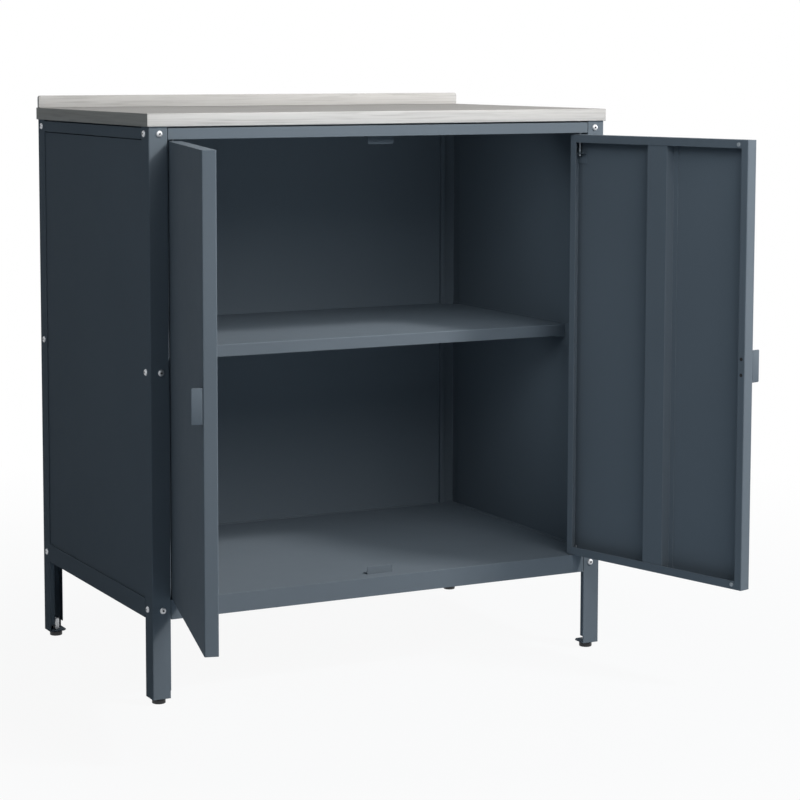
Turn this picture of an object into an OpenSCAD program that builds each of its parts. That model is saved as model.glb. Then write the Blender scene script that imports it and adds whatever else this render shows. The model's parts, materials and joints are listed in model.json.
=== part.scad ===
// Two door steel storage cabinet on four angle posts, with a laminated worktop.
// Millimetres. +X is the viewer's right, +Y is towards the back, +Z is up.
// The doors are drawn standing open. Z = 0 is the floor under the levelling feet.

/* [Worktop] */
// Width of the worktop, left to right
worktop_w = 800; // [700:10:1000]
// Depth of the worktop, front to back
worktop_d = 500; // [420:5:600]
// Thickness of the worktop board
worktop_t = 19.5; // [16:0.5:30]
// How far the board stands out past the frame at each side
overhang_side = 2.5; // [0:0.5:8]
// How far the board stands out past the frame at the front
overhang_front = 2.5; // [0:0.5:8]
// How far the board stands out past the frame at the back
overhang_rear = 1; // [0:0.5:8]
// Height of the upstand above the board
upstand_h = 20; // [12:1:60]
// Thickness of the upstand strip
upstand_t = 7; // [6:0.5:16]
// How far the upstand stops short of each end of the board
upstand_inset = 2; // [0:0.5:10]
// Radius of the upstand's two upper corners
upstand_r = 4; // [1:0.5:10]

/* [Sheet steel] */
// Sheet thickness of posts, rails, tray and shelf supports
frame_t = 1.2; // [1:0.1:1.5]
// Sheet thickness of panels, shelf and doors
panel_t = 1; // [0.8:0.1:1.2]
// Outer radius of the folded edges
bend_r = 1.5; // [0.8:0.1:1.6]
// Gap between a post and the sheet parts that end beside it
joint_gap = 1; // [0.5:0.25:2]

/* [Posts] */
// Length of a corner post
post_len = 865.5; // [700:0.5:1000]
// Width of each face of a post
post_w = 30; // [27:0.5:34]
// Depth of the small return lips on the post's free edges
lip_d = 8; // [5:0.5:10]
// Length at the foot where the lips are cut away
lip_stop = 12; // [6:1:20]
// Thickness of the plates welded in both ends of a post
plate_t = 2; // [1.5:0.1:3]
// Distance from the post's corner to the worktop's screw
top_screw_inset = 15; // [13:0.5:17]
// Chamfer on the free corner of those plates
plate_chamfer = 5; // [2:0.5:8]

/* [Top rails] */
// Height of a top rail
rail_h = 16.7; // [15:0.1:22]
// Gap between the rails and the underside of the worktop
rail_drop = 2.4; // [2:0.1:4]

/* [Tray, shelf and panels] */
// Height of the tray's lower edge above the end of the posts
tray_clear = 121.5; // [80:0.5:160]
// Height of the tray's faces
tray_h = 30; // [28:0.5:40]
// Width of the returns along the tray's lower edges
tray_return = 8; // [6:0.5:12]
// Height of the shelf's underside above the floor
shelf_z = 511.4; // [400:0.2:620]
// Height of the shelf's edges
shelf_h = 19.2; // [15:0.2:30]
// Distance from the front of the posts to the front of the shelf
shelf_setback = 105; // [40:1:160]
// Gap between the shelf's rear edge and the back panel
shelf_rear_gap = 1; // [0.5:0.5:6]
// Width of the returns along the shelf's lower edges
shelf_return = 12; // [8:0.5:16]
// Width of the ledge that carries the shelf
ledge_w = 18; // [14:0.5:22]
// How far the panels lie behind the faces of the posts
panel_recess = 2; // [1.8:0.1:3]
// Gap between a panel's upright edge and the post beside it
panel_gap = 1; // [0.5:0.25:3]
// How far the panels reach past the edges of the rear posts
panel_lap = 5; // [3:0.5:6]
// Width of the flanges folded round the panels' edges
panel_flange = 8; // [6:0.5:10]
// Height of the groove between a side panel and the rail above it
panel_groove = 1.5; // [1:0.1:2.5]

/* [Doors] */
// Depth of a door leaf
leaf_depth = 20; // [18:0.5:24]
// Width of the return flange round the back of a leaf
return_w = 12.7; // [11:0.1:15]
// Gap between a closed leaf and the post
leaf_gap_side = 2; // [1.5:0.1:3]
// Gap between the two closed leaves
leaf_gap_centre = 3; // [2:0.5:5]
// Gap above a leaf
leaf_gap_top = 2.8; // [2:0.1:4]
// Gap below a leaf
leaf_gap_bottom = 1; // [0.8:0.1:2]
// How far a closed leaf lies behind the faces of the posts
leaf_recess = 1; // [0.5:0.25:2]
// Angle at which both doors are drawn open
open_angle = 105; // [90:1:110]
// Distance from the leaf's hinge edge to the middle of its stiffener
stiffener_pos = 184; // [120:1:220]
// Width of the stiffener's flat crown
stiffener_w = 39.5; // [25:0.5:50]
// Width of the stiffener's feet on the door skin
stiffener_foot = 9; // [6:0.5:12]

/* [Hinges] */
// Radius of the hinge pins
pin_r = 2; // [1.6:0.1:2.8]
// Distance from the frame's side face to the pin axis
pin_inset = 40.5; // [40:0.25:43]
// Distance from the front of the posts to the pin axis
pin_back = 7; // [6:0.25:8]
// Radial clearance of a pin where it turns
pin_clear = 0.08; // [0.02:0.01:0.1]
// Length of an upper pin below the top of the leaf
pin_drop = 35; // [28:1:45]
// Height of a lower pin's head above the bottom of the leaf
pin_rise = 11; // [6:0.5:16]
// How far the pins reach past the sheet that holds them
pin_reach = 2.4; // [1:0.2:4]
// Radius of the washer under each door
washer_r = 6; // [4.5:0.5:7]

/* [Handles] */
// Height of a handle
handle_h = 50; // [40:1:80]
// How far a handle stands out from the door
handle_reach = 16; // [12:0.5:25]
// Thickness of the handle plate
handle_t = 1.5; // [1.2:0.1:2]
// Width of the handle's leg on the door skin
handle_leg = 14; // [12:0.5:20]
// Distance between the two handle screws
handle_screw_pitch = 24.5; // [16:0.5:36]
// Radius of the handle screws
handle_screw_r = 2; // [1.5:0.1:2.2]

/* [Stops] */
// Width of the two stops that the doors close against
stop_w = 45; // [44:1:80]
// Depth of the upper stop below the rail
stop_drop = 13.2; // [12:0.2:16]
// Height of the lower stop above the tray
stop_rise = 12; // [11:0.5:16]
// Thickness of the buffers on the doors
buffer_t = 1.6; // [1:0.1:3]
// Radius of the buffers
buffer_r = 3.2; // [2:0.1:3.6]
// Distance from the leaf's free edge to a buffer
buffer_inset = 18.2; // [16:0.1:19]

/* [Frame screws] */
// Radius of the frame screws
screw_r = 2.5; // [2:0.1:2.6]
// Radius of the button heads
screw_head_r = 5; // [4:0.1:5.4]
// Height of the button heads
screw_head_h = 2.7; // [2:0.1:3]
// Length of the screws under the head
screw_len = 8; // [7:0.5:8.5]
// Distance from the post's corner to the screws on front and back faces
screw_inset_front = 17; // [15:0.5:19]
// Distance from the post's corner to the screws on side faces
screw_inset_side = 18; // [15:0.5:19]

/* [Feet] */
// Height of the post's lower end above the floor
foot_stand = 9; // [8.5:0.1:20]
// Radius of a foot pad
pad_r = 10.5; // [8:0.5:11]
// Height of a foot pad
pad_h = 7.5; // [6:0.25:8]
// Radius of the levelling stud
stud_r = 3; // [2.5:0.1:4]
// Distance from the post's corner to the stud
foot_inset = 15; // [13:0.5:16]
// Height of the threaded sleeve
sleeve_h = 18; // [12:0.5:30]
// Wall of the threaded sleeve
sleeve_wall = 2.2; // [1.5:0.1:3]

/* [Hidden] */
$fn = 48;

// Sides and ends of the cabinet
LEFT = -1;
RIGHT = 1;
FRONT = 0;
REAR = 1;
SIDES = [LEFT, RIGHT];
ENDS = [FRONT, REAR];

// Finish colours
STEEL = [0.29, 0.34, 0.39];
LAMINATE = [0.74, 0.73, 0.71];
ZINC = [0.75, 0.77, 0.8];
PLASTIC = [0.07, 0.07, 0.08];
BUFFER_GREY = [0.6, 0.62, 0.64];

// Small allowances
cut = 1;
hole_clear = 0.2;
fit_clear = 0.1;
seat_gap = 0.3;
tab_end = 3;
tab_trim = 1.5;

// Frame envelope and levels
frame_w = worktop_w - 2 * overhang_side;
frame_d = worktop_d - overhang_front - overhang_rear;
post_top = foot_stand + post_len;
rail_top = post_top - rail_drop;
rail_z = rail_top - rail_h;
tray_z = foot_stand + tray_clear;
tray_top = tray_z + tray_h;
leaf_z = tray_top + leaf_gap_bottom;
leaf_top = rail_z - leaf_gap_top;
leaf_mid = (leaf_z + leaf_top) / 2;

// Door leaf about its pin axis: u runs from hinge edge to free edge, v from skin to inside
leaf_w = frame_w / 2 - post_w - leaf_gap_side - leaf_gap_centre / 2;
leaf_u0 = -(pin_inset - post_w - leaf_gap_side);
leaf_u1 = leaf_u0 + leaf_w;
leaf_v0 = leaf_recess - pin_back;
leaf_v1 = leaf_v0 + leaf_depth;

// Stops and rail depth follow the closed leaf
stop_y = pin_back + leaf_v1 + buffer_t + seat_gap;
rail_depth = stop_y;
stop_r = 3;
stop_foot = 13;
buffer_edge = return_w * 0.575;
buffer_stem_r = 1.5;

// Shelf supports and the screw heights
web_x = panel_recess + panel_t;
support_drop = 12;
support_rise = 2.5;
flange_notch = 2;
screw_z_top = rail_z + rail_h / 2;
screw_z_low = tray_z + tray_h / 2;
screw_z_mid = shelf_z - frame_t - screw_r - 0.5;
SCREW_LEVELS = [screw_z_low, screw_z_mid, screw_z_top];
support_z = screw_z_mid - support_drop;
support_top = shelf_z + shelf_h + support_rise;
shelf_x = frame_w / 2 - web_x - frame_t - 0.8;
shelf_back = frame_d - panel_recess - panel_t - shelf_rear_gap;
notch_x = frame_w / 2 - post_w - panel_gap - panel_t - joint_gap;
notch_y = frame_d - post_w - joint_gap;

// Screw details
socket_d = 3.5;
socket_depth = 1.7;
nut_r = 4.6;
nut_h = 4;
head_sphere_r = (screw_head_r * screw_head_r + screw_head_h * screw_head_h) / (2 * screw_head_h);
wood_screw_r = 2;
wood_screw_head_r = 4;
wood_screw_head_h = 2.5;
wood_screw_bite = 14;
upstand_screw_bite = 12;
upstand_screw_count = 4;

// Feet
stud_seat = 3;
pad_chamfer = 1.2;
stud_top = foot_stand + plate_t + sleeve_h - 1;

// Hinge details
bracket_drop = 31;
bracket_leaf_h = 18;
bracket_u = 12;
bracket_v = 6;
knob_r = 3.2;
knob_h = 3;
collar_r = 4;
collar_h = 1.5;
pin_chamfer = 0.6;
handle_set = 0.8;
handle_bend_r = 2;
handle_hole_inset = 6.6;
handle_access_r = 2.3;
handle_head_r = 3.5;
handle_head_h = 2;

// Plan origin: the middle of the whole outline with both doors open
reach_front = pin_back - (leaf_u1 - bend_r) * sin(open_angle)
    + (leaf_v1 - bend_r) * cos(open_angle) - bend_r;
reach_back = frame_d + max(overhang_rear, screw_head_h);
front_y = -(reach_front + reach_back) / 2;

// Helpers

// Box between two opposite corners
module box(low, high) {
    translate(low) cube(high - low);
}

// Moves the cabinet's front plane to its place in the plan
module placed() {
    translate([0, front_y, 0]) children();
}

// Mirrors left and right when asked
module flip_x(on) {
    if (on) mirror([1, 0, 0]) children();
    else children();
}

// Mirrors front and back when asked
module flip_y(on) {
    if (on) mirror([0, 1, 0]) children();
    else children();
}

// Puts children, drawn from an outer corner with x and y running inwards, at one post
module at_corner(side, end) {
    translate([side * frame_w / 2, end * frame_d, 0])
        flip_x(side == RIGHT) flip_y(end == REAR) children();
}

// Puts children, drawn from the left face with x running inwards, at one side
module at_side(side) {
    translate([side * frame_w / 2, 0, 0]) flip_x(side == RIGHT) children();
}

// Puts children, drawn about the pin axis of a closed left leaf, on an open door
module on_leaf(side) {
    at_side(side) translate([pin_inset, pin_back, 0]) rotate([0, 0, -open_angle]) children();
}

// Outline that trims a square corner at the origin to a round one
module corner_trim(r) {
    difference() {
        translate([-cut, -cut]) square(r + cut);
        translate([r, r]) circle(r);
    }
}

// Rectangle from the origin with its corners rounded
module rounded_rect(w, d, r) {
    difference() {
        square([w, d]);
        corner_trim(r);
        translate([w, 0]) mirror([1, 0]) corner_trim(r);
        translate([0, d]) mirror([0, 1]) corner_trim(r);
        translate([w, d]) rotate(180) corner_trim(r);
    }
}

// Bolt along +Z with a domed socket head below z = 0
module button_screw() {
    difference() {
        union() {
            intersection() {
                translate([0, 0, head_sphere_r - screw_head_h]) sphere(head_sphere_r);
                translate([0, 0, -screw_head_h]) cylinder(r = screw_head_r, h = screw_head_h);
            }
            cylinder(r = screw_r, h = screw_len);
        }
        translate([0, 0, -screw_head_h - cut])
            cylinder(d = socket_d, h = socket_depth + cut, $fn = 6);
    }
}

// Places children, drawn along +Z from a post face, at both screws of one post level
module at_post_screws(z) {
    translate([screw_inset_front, 0, z]) rotate([-90, 0, 0]) children();
    translate([0, screw_inset_side, z]) rotate([0, 90, 0]) children();
}

// Worktop

module worktop() {
    color(LAMINATE) difference() {
        box([-worktop_w / 2, -overhang_front, post_top],
            [worktop_w / 2, worktop_d - overhang_front, post_top + worktop_t]);
        for (side = SIDES, end = ENDS)
            at_corner(side, end) translate([top_screw_inset, top_screw_inset, post_top - cut])
                cylinder(r = wood_screw_r + fit_clear, h = wood_screw_bite + cut);
        upstand_screw_places() {
            translate([0, 0, -cut]) cylinder(r = wood_screw_r + fit_clear, h = worktop_t + 2 * cut);
            translate([0, 0, -cut])
                cylinder(r = wood_screw_head_r + fit_clear, h = wood_screw_head_h + cut);
        }
    }
}

// Places along the upstand, at the underside of the board
module upstand_screw_places() {
    span = worktop_w - 2 * upstand_inset;
    for (i = [0 : upstand_screw_count - 1])
        translate([span * ((i + 0.5) / upstand_screw_count - 0.5),
            frame_d + overhang_rear - upstand_t / 2, post_top]) children();
}

module upstand() {
    length = worktop_w - 2 * upstand_inset;
    rear = frame_d + overhang_rear;
    color(LAMINATE) difference() {
        translate([-length / 2, rear, post_top + worktop_t]) rotate([90, 0, 0])
            linear_extrude(upstand_t) difference() {
                square([length, upstand_h]);
                translate([0, upstand_h]) mirror([0, 1]) corner_trim(upstand_r);
                translate([length, upstand_h]) rotate(180) corner_trim(upstand_r);
            }
        upstand_screw_places() cylinder(r = wood_screw_r + fit_clear,
            h = worktop_t + upstand_screw_bite);
    }
}

// Countersunk style wood screw along +Z, head below z = 0
module wood_screw(shank) {
    translate([0, 0, -wood_screw_head_h]) cylinder(r = wood_screw_head_r, h = wood_screw_head_h);
    cylinder(r = wood_screw_r, h = shank);
}

module worktop_screws() {
    color(ZINC) for (side = SIDES, end = ENDS)
        at_corner(side, end) translate([top_screw_inset, top_screw_inset, post_top - plate_t])
            wood_screw(plate_t + wood_screw_bite - fit_clear);
}

module upstand_screws() {
    color(ZINC) upstand_screw_places() translate([0, 0, wood_screw_head_h])
        wood_screw(worktop_t - wood_screw_head_h + upstand_screw_bite - fit_clear);
}

// Posts and what is welded to them

// Angle section with return lips, outer corner at the origin
module post_profile() {
    difference() {
        union() {
            square([post_w, frame_t]);
            square([frame_t, post_w]);
            translate([post_w - frame_t, 0]) square([frame_t, lip_d]);
            translate([0, post_w - frame_t]) square([lip_d, frame_t]);
        }
        corner_trim(bend_r);
        translate([post_w, 0]) mirror([1, 0]) corner_trim(bend_r);
        translate([0, post_w]) mirror([0, 1]) corner_trim(bend_r);
    }
}

// Clears both lips, but not the faces, between two heights
module lip_notch(z0, z1) {
    box([post_w - frame_t - 0.1, frame_t, z0], [post_w + cut, lip_d + cut, z1]);
    side_lip_notch(z0, z1);
}

// Clears the lip on the side face only
module side_lip_notch(z0, z1) {
    box([frame_t, post_w - frame_t - 0.1, z0], [lip_d + cut, post_w + cut, z1]);
}

// Clears lips and folds together at the foot of the post
module foot_notch() {
    z1 = foot_stand + lip_stop;
    box([post_w - frame_t, -cut, foot_stand - cut], [post_w + cut, lip_d + cut, z1]);
    box([-cut, post_w - frame_t, foot_stand - cut], [lip_d + cut, post_w + cut, z1]);
}

module post(side, end) {
    color(STEEL) at_corner(side, end) difference() {
        translate([0, 0, foot_stand]) linear_extrude(post_len) post_profile();
        foot_notch();
        lip_notch(tray_z - cut, tray_top + joint_gap);
        lip_notch(rail_z - joint_gap, post_top + cut);
        side_lip_notch(support_z - joint_gap, support_top + joint_gap);
        if (end == REAR) side_lip_notch(tray_top, rail_z);
        for (z = SCREW_LEVELS)
            at_post_screws(z) translate([0, 0, -cut])
                cylinder(r = screw_r + hole_clear, h = frame_t + 2 * cut);
    }
}

// Square plate with one corner cut off, welded inside the angle
module end_plate(z, inset, hole_r) {
    free = post_w - frame_t + 0.5;
    translate([0, 0, z]) linear_extrude(plate_t) difference() {
        polygon([
            [frame_t, frame_t],
            [free, frame_t],
            [free, free - plate_chamfer],
            [free - plate_chamfer, free],
            [frame_t, free]
        ]);
        translate([inset, inset]) circle(hole_r);
    }
}

module foot_plate(side, end) {
    color(STEEL) at_corner(side, end) end_plate(foot_stand, foot_inset, stud_r + 2 * hole_clear);
}

module top_plate(side, end) {
    color(STEEL) at_corner(side, end)
        end_plate(post_top - plate_t, top_screw_inset, wood_screw_r + hole_clear);
}

module foot_sleeves() {
    color(ZINC) for (side = SIDES, end = ENDS)
        at_corner(side, end) translate([foot_inset, foot_inset, foot_stand + plate_t])
            difference() {
                cylinder(r = stud_r + sleeve_wall, h = sleeve_h);
                translate([0, 0, -cut]) cylinder(r = stud_r + pin_clear, h = sleeve_h + 2 * cut);
            }
}

// Top rails

// Channel along X between two posts, its face at y = 0 and its length centred on x = 0
module rail_channel(between, screw_inset) {
    half = between / 2 - joint_gap;
    difference() {
        box([-half, 0, rail_z], [half, rail_depth, rail_top]);
        box([-half - cut, frame_t, rail_z + frame_t], [half + cut, rail_depth + cut, rail_top - frame_t]);
        for (flip = [false, true])
            flip_x(flip) translate([half, frame_t + cut, rail_z]) rotate([90, 0, 0])
                linear_extrude(frame_t + 2 * cut) mirror([1, 0]) corner_trim(bend_r);
    }
    for (flip = [false, true])
        flip_x(flip) difference() {
            union() {
                box([half - frame_t, 0, rail_z + tab_trim], [half, 2 * frame_t, rail_top - tab_trim]);
                box([half - frame_t, frame_t, rail_z + tab_trim],
                    [between / 2 + post_w - tab_end, 2 * frame_t, rail_top - tab_trim]);
            }
            translate([between / 2 + post_w - screw_inset, -cut, screw_z_top]) rotate([-90, 0, 0])
                cylinder(r = screw_r + hole_clear, h = 2 * frame_t + 2 * cut);
        }
}

module top_rail_front() {
    color(STEEL) difference() {
        rail_channel(frame_w - 2 * post_w, screw_inset_front);
        for (side = SIDES)
            at_side(side) translate([pin_inset, pin_back, rail_z - cut])
                cylinder(r = pin_r + pin_clear, h = frame_t + 2 * cut);
    }
}

module top_rail_rear() {
    color(STEEL) translate([0, frame_d, 0]) rotate([0, 0, 180])
        rail_channel(frame_w - 2 * post_w, screw_inset_front);
}

module top_rail_side(side) {
    color(STEEL) at_side(side) translate([0, frame_d / 2, 0]) rotate([0, 0, -90])
        rail_channel(frame_d - 2 * post_w, screw_inset_side);
}

// Panels

// Strip along one upright edge of a side panel, left out where the shelf support passes
module side_panel_edge(y0, y1, x1, top) {
    for (z = [[tray_top, support_z - flange_notch], [support_top + flange_notch, top]])
        box([panel_recess, y0, z[0]], [x1, y1, z[1]]);
}

// Folded inwards at its front edge and lapped behind the rear post's face.
// The upper flange turns up behind the groove and meets the rail.
module side_panel(side) {
    y0 = post_w + panel_gap;
    y1 = frame_d - y0;
    inner = panel_recess + panel_t;
    fold = panel_recess + panel_flange;
    top = rail_z - panel_groove;
    color(STEEL) at_side(side) {
        box([panel_recess, y0, tray_top], [inner, y1, top]);
        box([panel_recess, y0, tray_top], [fold, y1, tray_top + panel_t]);
        box([panel_recess, y0, top - panel_t], [fold, y1, top]);
        box([fold - panel_t, y0, top - panel_t], [fold, y1, rail_z]);
        side_panel_edge(y0, y0 + panel_t, fold, top);
        side_panel_edge(y1 - cut, y1 + panel_gap + panel_lap, inner, top);
    }
}

// Folded forwards at all four edges, then outwards in front of the rear posts' lips
module back_panel() {
    x0 = post_w + panel_gap;
    x1 = x0 + panel_t;
    half = frame_w / 2 - x0;
    y1 = frame_d - panel_recess;
    y0 = y1 - panel_flange;
    color(STEEL) {
        box([-half, y1 - panel_t, tray_top], [half, y1, rail_z]);
        box([-half, y0, tray_top], [half, y1, tray_top + panel_t]);
        box([-half, y0, rail_z - panel_t], [half, y1, rail_z]);
        for (side = SIDES) at_side(side) {
            box([x0, y0, tray_top], [x1, y1, rail_z]);
            box([post_w - panel_lap, y0, tray_top], [x1, y0 + panel_t, rail_z]);
        }
    }
}

// Tray and shelf

// One face of the tray with its lower return, along X and centred on x = 0
module tray_face(half) {
    box([-half, 0, tray_z], [half, frame_t, tray_top]);
    box([-half, 0, tray_z], [half, tray_return, tray_z + frame_t]);
    box([-half, 0, tray_top - frame_t], [half, post_w, tray_top]);
}

// Tabs of the tray behind the two faces of one post
module tray_tabs() {
    reach = post_w + joint_gap + frame_t;
    z0 = tray_z + tab_trim;
    box([tab_end, frame_t, z0], [reach, 2 * frame_t, tray_top]);
    box([post_w + joint_gap, 0, z0], [reach, 2 * frame_t, tray_top]);
    box([frame_t, tab_end, z0], [2 * frame_t, reach, tray_top]);
    box([0, post_w + joint_gap, z0], [2 * frame_t, reach, tray_top]);
}

module bottom_tray() {
    half_x = frame_w / 2 - post_w - joint_gap;
    half_y = frame_d / 2 - post_w - joint_gap;
    inset = frame_t + fit_clear;
    color(STEEL) difference() {
        union() {
            box([-frame_w / 2 + inset, inset, tray_top - frame_t],
                [frame_w / 2 - inset, frame_d - inset, tray_top]);
            tray_face(half_x);
            translate([0, frame_d, 0]) rotate([0, 0, 180]) tray_face(half_x);
            for (side = SIDES)
                at_side(side) translate([0, frame_d / 2, 0]) rotate([0, 0, -90]) tray_face(half_y);
            for (side = SIDES, end = ENDS)
                at_corner(side, end) tray_tabs();
        }
        for (side = SIDES, end = ENDS)
            at_corner(side, end) at_post_screws(screw_z_low)
                cylinder(r = screw_r + hole_clear, h = 2 * frame_t + cut);
        for (side = SIDES)
            at_side(side) translate([pin_inset, pin_back, tray_top - frame_t - cut])
                cylinder(r = pin_r + pin_clear, h = frame_t + 2 * cut);
    }
}

// Plan of the shelf, notched round the rear posts and drawn in by the given inset
module shelf_plan(inset) {
    x1 = shelf_x - inset;
    x2 = notch_x - inset;
    y0 = shelf_setback + inset;
    y1 = shelf_back - inset;
    y2 = notch_y - inset;
    polygon([[-x1, y0], [x1, y0], [x1, y2], [x2, y2], [x2, y1], [-x2, y1], [-x2, y2], [-x1, y2]]);
}

module shelf() {
    top = shelf_z + shelf_h;
    color(STEEL) difference() {
        translate([0, 0, shelf_z]) linear_extrude(shelf_h) shelf_plan(0);
        translate([0, 0, shelf_z + panel_t]) linear_extrude(shelf_h - 2 * panel_t) shelf_plan(panel_t);
        translate([0, 0, shelf_z - cut]) linear_extrude(2 * panel_t + cut) shelf_plan(shelf_return);
        translate([0, shelf_setback, top]) rotate([0, 90, 0])
            linear_extrude(2 * shelf_x + 2 * cut, center = true) corner_trim(bend_r);
    }
}

// Bracket along one side: web on the panel, ledge under the shelf, tabs in both posts
module shelf_support(side) {
    web_in = web_x + frame_t;
    step = post_w - joint_gap - frame_t;
    color(STEEL) at_side(side) difference() {
        union() {
            box([web_x, step, support_z], [web_in, frame_d - step, support_top]);
            box([web_x, shelf_setback, shelf_z - frame_t], [web_in + ledge_w, notch_y, shelf_z]);
            for (end = ENDS)
                translate([0, end * frame_d, 0]) flip_y(end == REAR) {
                    box([frame_t, step - frame_t, support_z], [web_in, step, support_top]);
                    box([frame_t, frame_t, support_z], [2 * frame_t, step, support_top]);
                    box([frame_t, frame_t, support_z],
                        [post_w - tab_end, 2 * frame_t, support_z + 2 * support_drop]);
                }
        }
        for (end = ENDS)
            translate([0, end * frame_d, 0]) flip_y(end == REAR) at_post_screws(screw_z_mid)
                cylinder(r = screw_r + hole_clear, h = 2 * frame_t + cut);
    }
}

// Stops for the closed doors

module door_stop_top() {
    z0 = rail_z - stop_drop;
    h = rail_top - z0;
    color(STEEL) translate([-stop_w / 2, stop_y + frame_t, z0]) rotate([90, 0, 0])
        linear_extrude(frame_t) difference() {
            square([stop_w, h]);
            corner_trim(stop_r);
            translate([stop_w, 0]) mirror([1, 0]) corner_trim(stop_r);
        }
}

module door_stop_bottom() {
    color(STEEL) {
        box([-stop_w / 2, stop_y, tray_top], [stop_w / 2, stop_y + frame_t, tray_top + stop_rise]);
        box([-stop_w / 2, stop_y, tray_top], [stop_w / 2, stop_y + stop_foot, tray_top + frame_t]);
    }
}

// Frame fasteners

module frame_screws() {
    color(ZINC) for (side = SIDES, end = ENDS, z = SCREW_LEVELS)
        at_corner(side, end) at_post_screws(z) button_screw();
}

module frame_nuts() {
    color(ZINC) for (side = SIDES, end = ENDS, z = SCREW_LEVELS)
        at_corner(side, end) at_post_screws(z) translate([0, 0, 2 * frame_t]) difference() {
            cylinder(r = nut_r, h = nut_h, $fn = 6);
            translate([0, 0, -cut]) cylinder(r = screw_r + fit_clear, h = nut_h + 2 * cut);
        }
}

// Doors, drawn about the pin axis of a closed left leaf

module door(side) {
    color(STEEL) on_leaf(side) difference() {
        translate([leaf_u0, leaf_v0, leaf_z]) linear_extrude(leaf_top - leaf_z)
            rounded_rect(leaf_w, leaf_depth, bend_r);
        box([leaf_u0 + panel_t, leaf_v0 + panel_t, leaf_z + panel_t],
            [leaf_u1 - panel_t, leaf_v1 - panel_t, leaf_top - panel_t]);
        box([leaf_u0 + return_w, leaf_v1 - panel_t - cut, leaf_z + return_w],
            [leaf_u1 - return_w, leaf_v1 + cut, leaf_top - return_w]);
        for (z = [leaf_z, leaf_top])
            translate([0, 0, z - panel_t - cut]) cylinder(r = pin_r + fit_clear, h = 2 * (panel_t + cut));
        handle_screw_places() {
            translate([0, leaf_v0 - cut, 0]) rotate([-90, 0, 0])
                cylinder(r = handle_screw_r + fit_clear, h = panel_t + 2 * cut);
            translate([0, leaf_v1 - panel_t - cut, 0]) rotate([-90, 0, 0])
                cylinder(r = handle_access_r, h = panel_t + 2 * cut);
        }
        buffer_places() translate([0, -panel_t - cut, 0]) rotate([-90, 0, 0])
            cylinder(r = buffer_stem_r + fit_clear, h = panel_t + 2 * cut);
    }
}

// Upright lines of the two handle screws, at the pin plane
module handle_screw_places() {
    for (up = [-0.5, 0.5])
        translate([leaf_u1 - handle_hole_inset, 0, leaf_mid + up * handle_screw_pitch]) children();
}

// Centres of the two buffers on the inner face of the leaf
module buffer_places() {
    for (z = [leaf_z + buffer_edge, leaf_top - buffer_edge])
        translate([leaf_u1 - buffer_inset, leaf_v1, z]) children();
}

module door_stiffener(side) {
    u0 = leaf_u0 + stiffener_pos - stiffener_w / 2;
    u1 = u0 + stiffener_w;
    skin = leaf_v0 + panel_t;
    crown = leaf_v1 - panel_t;
    z0 = leaf_z + panel_t;
    z1 = leaf_top - panel_t;
    color(STEEL) on_leaf(side) {
        box([u0, crown - panel_t, z0], [u1, crown, z1]);
        box([u0, skin, z0], [u0 + panel_t, crown, z1]);
        box([u1 - panel_t, skin, z0], [u1, crown, z1]);
        box([u0 - stiffener_foot, skin, z0], [u0 + panel_t, skin + panel_t, z1]);
        box([u1 - panel_t, skin, z0], [u1 + stiffener_foot, skin + panel_t, z1]);
    }
}

// Angle plate: a leg flat on the skin and a finger tab standing out at the free edge
module handle(side) {
    u1 = leaf_u1 - handle_set;
    color(STEEL) on_leaf(side) difference() {
        translate([0, 0, leaf_mid - handle_h / 2]) linear_extrude(handle_h) difference() {
            union() {
                translate([u1 - handle_leg, leaf_v0 - handle_t]) square([handle_leg, handle_t]);
                translate([u1 - handle_t, leaf_v0 - handle_reach]) square([handle_t, handle_reach]);
            }
            translate([u1, leaf_v0]) rotate(180) corner_trim(handle_bend_r);
        }
        handle_screw_places() translate([0, leaf_v0 - handle_t - cut, 0]) rotate([-90, 0, 0])
            cylinder(r = handle_screw_r + fit_clear, h = handle_t + 2 * cut);
    }
}

module handle_screws(side) {
    color(ZINC) on_leaf(side) handle_screw_places() {
        translate([0, leaf_v0 - handle_t, 0]) rotate([-90, 0, 0])
            cylinder(r = handle_screw_r, h = handle_t + panel_t);
        translate([0, leaf_v0 + panel_t, 0]) rotate([-90, 0, 0])
            cylinder(r = handle_head_r, h = handle_head_h);
    }
}

module door_buffers(side) {
    color(BUFFER_GREY) on_leaf(side) buffer_places() {
        rotate([-90, 0, 0]) cylinder(r = buffer_r, h = buffer_t);
        translate([0, -panel_t, 0]) rotate([-90, 0, 0]) cylinder(r = buffer_stem_r, h = panel_t);
    }
}

// Hinges

// Round pin from z0 to z1 with its upper or lower tip chamfered
module pin(z0, z1, tip_up) {
    flat0 = tip_up ? z0 : z0 + pin_chamfer;
    flat1 = tip_up ? z1 - pin_chamfer : z1;
    translate([0, 0, flat0]) cylinder(r = pin_r, h = flat1 - flat0);
    if (tip_up)
        translate([0, 0, flat1]) cylinder(r1 = pin_r, r2 = pin_r - pin_chamfer, h = pin_chamfer);
    else
        translate([0, 0, z0]) cylinder(r1 = pin_r - pin_chamfer, r2 = pin_r, h = pin_chamfer);
}

module hinge_pin_top(side) {
    z0 = leaf_top - pin_drop;
    color(ZINC) on_leaf(side) {
        pin(z0, rail_z + frame_t + pin_reach, true);
        translate([0, 0, z0]) cylinder(r = knob_r, h = knob_h);
    }
}

module hinge_pin_bottom(side) {
    color(ZINC) on_leaf(side) {
        pin(tray_top - frame_t - pin_reach, leaf_z + pin_rise, false);
        translate([0, 0, leaf_z + panel_t]) cylinder(r = collar_r, h = collar_h);
        translate([0, 0, leaf_z + pin_rise]) sphere(pin_r);
    }
}

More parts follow.
